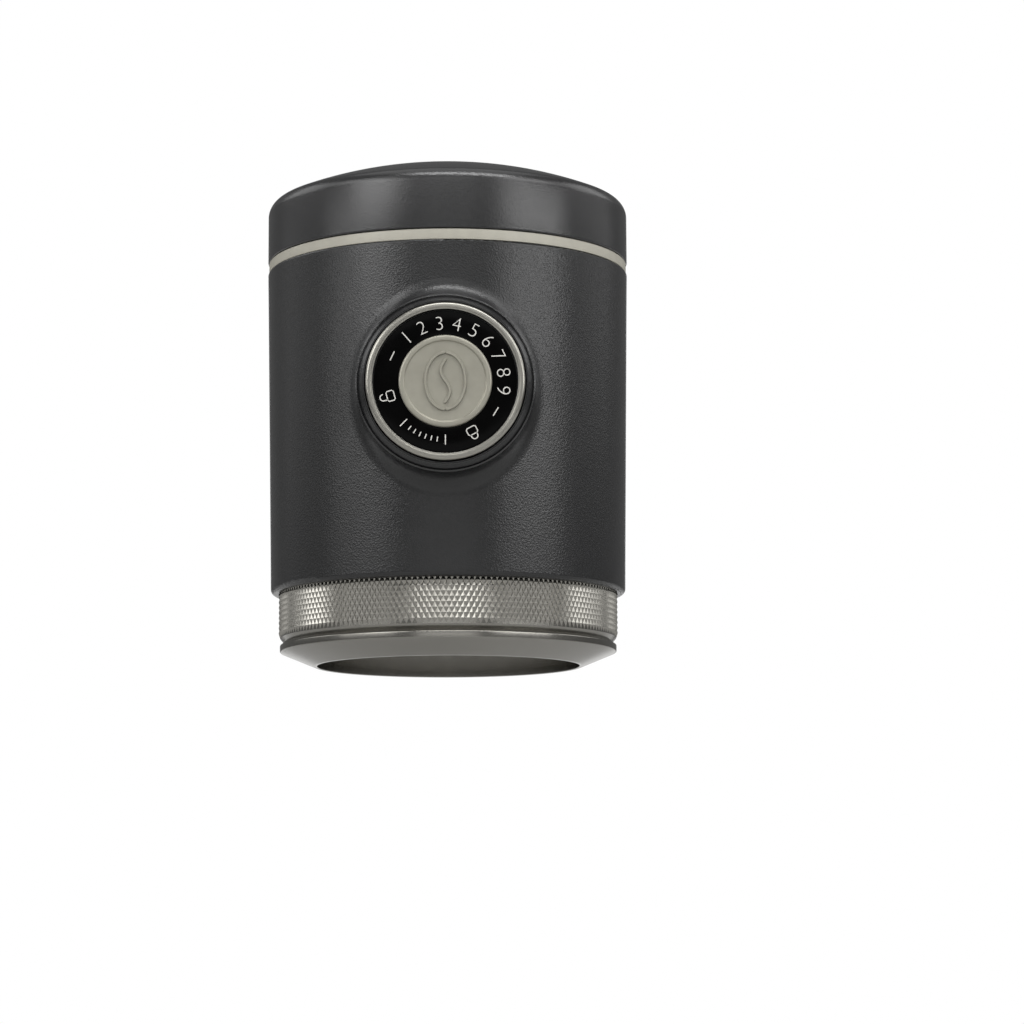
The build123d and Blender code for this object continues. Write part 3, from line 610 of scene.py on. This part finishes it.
# ================================================================ lid and trim ring
def dome_outline(side_radius, centre, sphere_radius, edge_round):
    """From the crown out over the dome and round its edge to the top of an upright side."""
    round_r = side_radius - edge_round
    round_z = centre + math.sqrt((sphere_radius - edge_round) ** 2 - round_r ** 2)
    steepest = math.atan2(round_z - centre, round_r)
    outline = []
    for i in range(dome_steps + 1):
        angle = math.pi / 2 + (steepest - math.pi / 2) * i / dome_steps
        outline.append((sphere_radius * math.cos(angle), centre + sphere_radius * math.sin(angle)))
    for i in range(1, dome_steps + 1):
        angle = steepest * (1 - i / dome_steps)
        outline.append((round_r + edge_round * math.cos(angle), round_z + edge_round * math.sin(angle)))
    return outline


def make_lid_cover():
    """Shallow dome over an upright skirt, with its lower edge softened."""
    side_radius = lid_radius - hair_gap
    centre = lid_high.z - lid_dome_radius
    outer = dome_outline(side_radius, centre, lid_dome_radius, lid_edge_round)
    inner = dome_outline(lid_bore_radius, centre, lid_dome_radius - lid_wall, lid_edge_round - lid_wall)
    foot = rounded([outer[-1] + (0,), (side_radius, lid_low.z, lid_foot_round),
                    (lid_bore_radius, lid_low.z, 0)])
    bm = bmesh.new()
    lathe(bm, outer + foot[1:] + inner[::-1], fine_segments, closed=False)
    cover = new_piece("lid_cover", bm)
    dress(cover, "shell_coat", "lid", "lid_coat")
    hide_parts("lid_cap")


def make_trim_band():
    """The pale ring between lid and body."""
    corners = [(trim_radius, trim_low.z, hair_edge), (trim_radius, trim_high.z, hair_edge),
               (trim_bore_radius, trim_high.z, 0), (trim_bore_radius, trim_low.z, 0)]
    bm = bmesh.new()
    lathe(bm, rounded(corners), fine_segments)
    band = new_piece("trim_band", bm)
    dress(band, "trim_paint", "body")
    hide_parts("trim_ring")


# ================================================================ knob face, in the knob's own frame
def make_bezel():
    """Rounded outer band, then a fine step down to a thin inner rim."""
    outer = bezel_radius + bezel_overhang
    inner = outer - bezel_width
    step = inner + bezel_rim_width
    rim = knob_face - bezel_rim_drop
    corners = [(inner, bezel_back, 0), (outer, bezel_back, 0),
               (outer, knob_face, bezel_round), (step, knob_face, hair_edge),
               (step, rim, hair_edge / 3), (inner, rim, hair_edge / 2)]
    bm = bmesh.new()
    lathe(bm, rounded(corners))
    bezel = new_piece("bezel", bm, knob_place)
    dress(bezel, "bezel_metal", "knob")
    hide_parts("knob_bezel")


def make_collar_edges():
    """The two fine bevels on the collar round the knob: at its inner rim and at its outer edge."""
    bm = bmesh.new()
    for outline in (collar_inner_bevel, collar_outer_bevel):
        lathe(bm, outline)
    edges = new_piece("collar_edges", bm, knob_place)
    dress(edges, "shell_coat", "body", "lid_coat")


def make_dial_face():
    """The gloss plate between badge and bezel."""
    inner = badge_radius + dial_bore_gap
    corners = [(inner, bezel_back, 0), (dial_radius, bezel_back, 0),
               (dial_radius, dial_face, hair_edge), (inner, dial_face, hair_edge)]
    bm = bmesh.new()
    lathe(bm, rounded(corners))
    face = new_piece("dial_face", bm, knob_place)
    dress(face, "dial_gloss", "knob")
    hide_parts("dial_plate")


def strand(bm, points, width, profile, base, closed=False):
    """A line of even width with round ends; profile gives (share of half width, height) across it."""
    flat = [Vector((x, y, base)) for x, y in points]
    count = len(flat)
    stations = []
    for k, here in enumerate(flat):
        before = flat[k - 1] if k or closed else here
        after = flat[(k + 1) % count] if k < count - 1 or closed else here
        stations.append((here, (after - before).normalized(), 1.0))
    if not closed:
        start, end = stations[0], stations[-1]
        turns = [math.radians(a) for a in cap_degrees]
        caps = [(math.sin(a) * width / 2, math.cos(a)) for a in turns]
        stations = [(start[0] - start[1] * d, start[1], s) for d, s in caps] + stations
        stations += [(end[0] + end[1] * d, end[1], s) for d, s in caps[::-1]]
    loops = []
    for here, along, share in stations:
        side = Vector((-along.y, along.x, 0)) * (share * width / 2)
        loops.append([here + side * a + Vector((0, 0, height)) for a, height in profile])
    sweep_loops(bm, loops, closed)


def bean_arc(first, last):
    """Part of the bean's oval outline between two turns in degrees."""
    angles = [math.radians(first + (last - first) * i / bean_steps) for i in range(bean_steps + 1)]
    return [(bean_half_width * math.cos(a), bean_half_length * math.sin(a)) for a in angles]


def bean_crease():
    """The S-shaped crease down the middle of the bean."""
    along = [2 * i / bean_steps - 1 for i in range(bean_steps + 1)]
    return [(-crease_swing * math.sin(math.pi * a), crease_share * bean_half_length * a) for a in along]


def make_badge():
    """Cap with a rounded raised rim and a coffee bean in low relief."""
    inner = badge_radius - badge_rim
    corners = [(0, bezel_back, 0), (badge_radius, bezel_back, 0),
               (badge_radius, badge_face, badge_rim_round),
               (inner + badge_rim_slope, badge_face, badge_rim_inner_round),
               (inner - badge_rim_slope, badge_field, hair_edge), (0, badge_field, 0)]
    bm = bmesh.new()
    lathe(bm, rounded(corners), closed=False)
    profile = [(across, height * bean_rise) for across, height in relief_profile]
    top, low = 90 - bean_gap_degrees, bean_gap_degrees - 90
    for line in (bean_arc(low, top), bean_arc(180 - top, 180 - low), bean_crease()):
        strand(bm, line, bean_line_width, profile, badge_field)
    badge = new_piece("badge", bm, knob_place)
    dress(badge, "badge_paint", "knob")
    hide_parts("knob_badge")


# ================================================================ marks printed on the dial
def on_dial(points, degrees):
    """Turns points drawn upright at the origin so that their tops face out at a turn of the dial."""
    turn = Matrix.Rotation(math.radians(degrees - 90), 3, "Z")
    shift = turn @ Vector((0, mark_radius, 0))
    return [(turn @ Vector((x, y, 0)) + shift).xy for x, y in points]


def printed_line(bm, points, degrees, closed=False):
    """A thin flat line through points, placed at a turn of the dial."""
    strand(bm, on_dial(points, degrees), mark_width, mark_profile, dial_face, closed)


def printed_number(bm, text, degrees):
    """A numeral in Blender's own font, thinned, with its top facing out."""
    curve = bpy.data.curves.new("numeral", "FONT")
    curve.body = text
    curve.offset = -number_thinning
    writer = bpy.data.objects.new("numeral", curve)
    glyph = bmesh.new()
    glyph.from_mesh(writer.to_mesh())
    bpy.data.objects.remove(writer)
    bpy.data.curves.remove(curve)
    low = Vector([min(v.co[k] for v in glyph.verts) for k in range(3)])
    high = Vector([max(v.co[k] for v in glyph.verts) for k in range(3)])
    middle_x = (low.x + high.x) / 2
    middle_y = (low.y + high.y) / 2
    size = number_height / (high.y - low.y)
    upright = [((v.co.x - middle_x) * size, (v.co.y - middle_y) * size) for v in glyph.verts]
    placed = on_dial(upright, degrees)
    made = [bm.verts.new((x, y, dial_face + mark_rise)) for x, y in placed]
    for face in glyph.faces:
        bm.faces.new([made[v.index] for v in face.verts])
    glyph.free()


def padlock(bm, degrees, open_lock):
    """A small padlock sign: a body in outline and a shackle, lifted off on one side when open."""
    half = lock_half_width
    flat = half - lock_corner
    body = [(flat, lock_bottom), (half, lock_bottom + lock_corner),
            (half, lock_top - lock_corner), (flat, lock_top),
            (-flat, lock_top), (-half, lock_top - lock_corner),
            (-half, lock_bottom + lock_corner), (-flat, lock_bottom)]
    printed_line(bm, body, degrees, closed=True)
    centre = shackle_height + shackle_lift * open_lock
    bend = [math.radians(a) for a in range(0, 181, shackle_step_degrees)]
    arch = [(shackle_radius * math.cos(a), centre + shackle_radius * math.sin(a)) for a in bend]
    right = [] if open_lock else [(shackle_radius, lock_top)]
    printed_line(bm, right + arch + [(-shackle_radius, lock_top)], degrees)


def make_dial_marks():
    """Numbers over the dial, a scale of ticks, a dash at each end of the numbers and both padlocks."""
    bm = bmesh.new()
    step = (number_last - number_first) / (number_count - 1)
    for k in range(number_count):
        printed_number(bm, str(k + 1), number_first + step * k)
    for degrees in (scale_start, scale_start + scale_span):
        printed_line(bm, [(0, -long_tick / 2), (0, long_tick / 2)], degrees)
    for k in range(short_tick_count):
        degrees = scale_start + scale_span * (k + short_tick_first) / short_tick_spaces
        printed_line(bm, [(0, -short_tick / 2), (0, short_tick / 2)], degrees)
    for degrees in dash_turns:
        printed_line(bm, [(-dash_length / 2, 0), (dash_length / 2, 0)], degrees)
    padlock(bm, open_lock_turn, open_lock=True)
    padlock(bm, closed_lock_turn, open_lock=False)
    marks = new_piece("dial_marks", bm, knob_place)
    dress(marks, "trim_paint", "knob", "mark_paint")


# ================================================================ return spring
def make_return_coil():
    """Round wire wound evenly from washer to sleeve floor."""
    start = -spring_high.y + spring_wire_radius
    length = spring_high.y - spring_low.y - 2 * spring_wire_radius
    steps = spring_steps_per_turn * spring_turns
    wire = [math.radians(360 / wire_sides * k) for k in range(wire_sides)]
    loops = []
    for i in range(steps + 1):
        angle = 2 * math.pi * spring_turns * i / steps
        out = Vector((math.cos(angle), math.sin(angle), 0))
        centre = out * spring_mean_radius + Vector((0, 0, start + length * i / steps))
        loops.append([centre + spring_wire_radius * (out * math.cos(a) + Vector((0, 0, math.sin(a))))
                      for a in wire])
    bm = bmesh.new()
    sweep_loops(bm, loops)
    coil = new_piece("return_coil", bm, knob_place, sharp_degrees=60)
    coil.data.materials.append(materials["spring_steel"])
    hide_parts("return_spring")
    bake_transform(coil)


# ================================================================ world, cards, lamps, floor and camera
def sees_white(tree):
    """1 on camera, glossy and transmission rays: those that show the white background."""
    path = tree.nodes.new("ShaderNodeLightPath")
    seen = path.outputs["Is Camera Ray"]
    for kind in ("Is Glossy Ray", "Is Transmission Ray"):
        either = tree.nodes.new("ShaderNodeMath")
        either.operation = "MAXIMUM"
        tree.links.new(seen, either.inputs[0])
        tree.links.new(path.outputs[kind], either.inputs[1])
        seen = either.outputs["Value"]
    return seen


def white_world():
    """White background for what the camera, metal and clear things see; soft light for the rest."""
    world = bpy.data.worlds.new("studio")
    world.use_nodes = True
    bpy.context.scene.world = world
    tree = world.node_tree
    background = tree.nodes["Background"]
    background.inputs["Color"].default_value = (1, 1, 1, 1)
    level = tree.nodes.new("ShaderNodeMapRange")
    level.inputs["To Min"].default_value = ambient_glow
    level.inputs["To Max"].default_value = 1.0
    tree.links.new(sees_white(tree), level.inputs["Value"])
    tree.links.new(level.outputs["Result"], background.inputs["Strength"])


def grey_card():
    """Even grey glow."""
    card = bpy.data.materials.new("grey_card")
    card.use_nodes = True
    tree = card.node_tree
    glow = tree.nodes.new("ShaderNodeEmission")
    glow.inputs["Strength"].default_value = card_glow
    tree.links.new(glow.outputs["Emission"], tree.nodes["Material Output"].inputs["Surface"])
    return card


def make_cards():
    """Grey cards round the object and over it, for reflections alone; they stand open behind it."""
    bm = bmesh.new()
    low, gap_top, high = [add_ring(bm, card_distance, height, card_count) for height in card_heights]
    centre = bm.verts.new((0, 0, card_heights[-1]))
    for i in range(card_count):
        k = (i + 1) % card_count
        bm.faces.new((gap_top[i], gap_top[k], high[k], high[i]))
        bm.faces.new((high[i], high[k], centre))
        turn = (360 / card_count) * (i + 0.5) - 90
        if abs(turn) > card_gap_degrees:
            bm.faces.new((low[i], low[k], gap_top[k], gap_top[i]))
    cards = new_piece("cards", bm)
    cards.data.materials.append(grey_card())
    cards.visible_camera = False
    cards.visible_diffuse = False
    cards.visible_transmission = False
    cards.visible_shadow = False


def area_lamp(name, sizes, glow, place, turns=(0, 0, 0)):
    """A rectangular lamp; glow is its brightness, whatever its sizes."""
    lamp = bpy.data.lights.new(name, "AREA")
    lamp.shape = "RECTANGLE"
    lamp.size, lamp.size_y = sizes
    lamp.energy = glow * math.pi * lamp.size * lamp.size_y
    box = bpy.data.objects.new(name, lamp)
    box.location = place
    box.rotation_euler = turns
    bpy.context.scene.collection.objects.link(box)


def softbox(name, azimuths, elevations, glow):
    """An upright lamp that fills a range of turns from the front and of rises, in degrees."""
    turn = math.radians(sum(azimuths) / 2)
    breadth = 2 * lamp_distance * math.tan(math.radians(azimuths[1] - azimuths[0]) / 2)
    low, high = [aim_height + lamp_distance * math.tan(math.radians(rise)) for rise in elevations]
    place = (lamp_distance * math.sin(turn), -lamp_distance * math.cos(turn), (low + high) / 2)
    area_lamp(name, (breadth, high - low), glow, place, (math.radians(90), 0, turn))


def floor_paper():
    """Pale paper that fades to the white background with distance and is clear from below."""
    surface = Surface("floor_paper", floor_colour, roughness=0.9, specular=0.0)
    surface.vary_colour(surface.noise(size=40.0), spread=0.01)
    far = surface.node("ShaderNodeVectorMath", operation="LENGTH")
    surface.link(surface.place, far.inputs[0])
    fade = surface.remap(far.outputs["Value"], 0, 1, floor_fade_start, floor_fade_end)
    factor = surface.node("ShaderNodeMath", operation="MULTIPLY")
    surface.link(fade, factor.inputs[0])
    surface.link(sees_white(surface.tree), factor.inputs[1])
    white = surface.node("ShaderNodeEmission")
    faded = surface.node("ShaderNodeMixShader")
    surface.link(factor.outputs["Value"], faded.inputs["Fac"])
    surface.link(surface.shader.outputs["BSDF"], faded.inputs[1])
    surface.link(white.outputs["Emission"], faded.inputs[2])
    sides = surface.node("ShaderNodeNewGeometry")
    clear = surface.node("ShaderNodeBsdfTransparent")
    one_way = surface.node("ShaderNodeMixShader")
    surface.link(sides.outputs["Backfacing"], one_way.inputs["Fac"])
    surface.link(faded.outputs["Shader"], one_way.inputs[1])
    surface.link(clear.outputs["BSDF"], one_way.inputs[2])
    surface.link(one_way.outputs["Shader"], surface.tree.nodes["Material Output"].inputs["Surface"])
    return surface.material


def make_floor():
    """A round floor, its faces up."""
    bm = bmesh.new()
    centre = bm.verts.new((0, 0, floor_height))
    rings = [add_ring(bm, radius, floor_height, floor_segments) for radius in floor_radii]
    for i in range(floor_segments):
        bm.faces.new((centre, rings[0][i], rings[0][(i + 1) % floor_segments]))
    for first, second in zip(rings, rings[1:]):
        join_rings(bm, first, second)
    floor = new_piece("floor", bm)
    if floor.data.polygons[0].normal.z < 0:
        floor.data.flip_normals()
    floor.data.materials.append(floor_paper())


def make_camera():
    """Camera at the photograph's place: low in front, looking up at the object."""
    forward = Vector((math.sin(camera_yaw) * math.cos(camera_pitch),
                      math.cos(camera_yaw) * math.cos(camera_pitch), math.sin(camera_pitch)))
    level = Vector((math.cos(camera_yaw), -math.sin(camera_yaw), 0))
    upright = level.cross(forward)
    right = level * math.cos(camera_roll) + upright * math.sin(camera_roll)
    up = upright * math.cos(camera_roll) - level * math.sin(camera_roll)
    lens = bpy.data.cameras.new("camera")
    lens.sensor_width = sensor_width
    lens.lens = lens.sensor_width * camera_focal_px / frame_px
    lens.clip_start = clip_near
    lens.clip_end = clip_far
    camera = bpy.data.objects.new("camera", lens)
    turn = Matrix((right, up, -forward)).transposed()
    place = Matrix.Translation(camera_place * MM) @ turn.to_4x4()
    camera.matrix_world = Matrix.Rotation(camera_azimuth, 4, "Z") @ place
    bpy.context.scene.collection.objects.link(camera)
    bpy.context.scene.camera = camera


# ================================================================ build
dress_nodes()
make_basket_holder()
make_lid_cover()
make_trim_band()
make_collar_edges()
make_bezel()
make_dial_face()
make_dial_marks()
make_badge()
make_return_coil()

white_world()
make_cards()
for name, azimuths, elevations, glow in softboxes:
    softbox(name, azimuths, elevations, glow)
for name, place, sizes, glow in ceiling_lamps:
    area_lamp(name, sizes, glow, place)
make_floor()
make_camera()
bpy.context.scene.view_settings.view_transform = "Standard"
